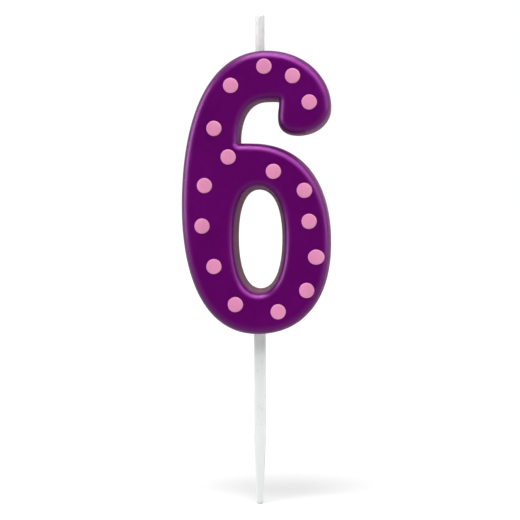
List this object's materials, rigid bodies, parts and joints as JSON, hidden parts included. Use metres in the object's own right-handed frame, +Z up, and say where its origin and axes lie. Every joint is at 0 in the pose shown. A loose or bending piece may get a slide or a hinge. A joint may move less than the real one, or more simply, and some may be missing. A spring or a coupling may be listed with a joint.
{
  "type": "number candle",
  "caption": "Moulded wax numeral six with a coloured face coat and raised round dots, a short waxed wick on top and a tapered plastic cake pick below.",
  "frame": {"origin": "on the common axis of wick and pick, at the height of the numeral's lowest point and halfway through its thickness", "axes": "+Z up from the pick through the numeral to the wick, -Y out of the numeral's coloured face, +X to the right of a viewer who faces it"},
  "size_m": [0.0317, 0.0102, 0.104],
  "materials": {
    "wax_core": "satin",
    "colour_coat": "semi-gloss",
    "dot_wax": "satin",
    "wick_wax": "satin",
    "cotton": "matte",
    "pick": "satin"
  },
  "bodies": {
    "root": {"wax_core": "wax_core", "colour_coat": "colour_coat", "dot_01": "dot_wax", "dot_02": "dot_wax", "dot_03": "dot_wax", "dot_04": "dot_wax", "dot_05": "dot_wax", "dot_06": "dot_wax", "dot_07": "dot_wax", "dot_08": "dot_wax", "dot_09": "dot_wax", "dot_10": "dot_wax", "dot_11": "dot_wax", "dot_12": "dot_wax", "dot_13": "dot_wax", "dot_14": "dot_wax", "dot_15": "dot_wax", "dot_16": "dot_wax", "wick_wax": "wick_wax", "wick_strand_1": "cotton", "wick_strand_2": "cotton", "wick_strand_3": "cotton", "pick": "pick"}
  },
  "joints": []
}
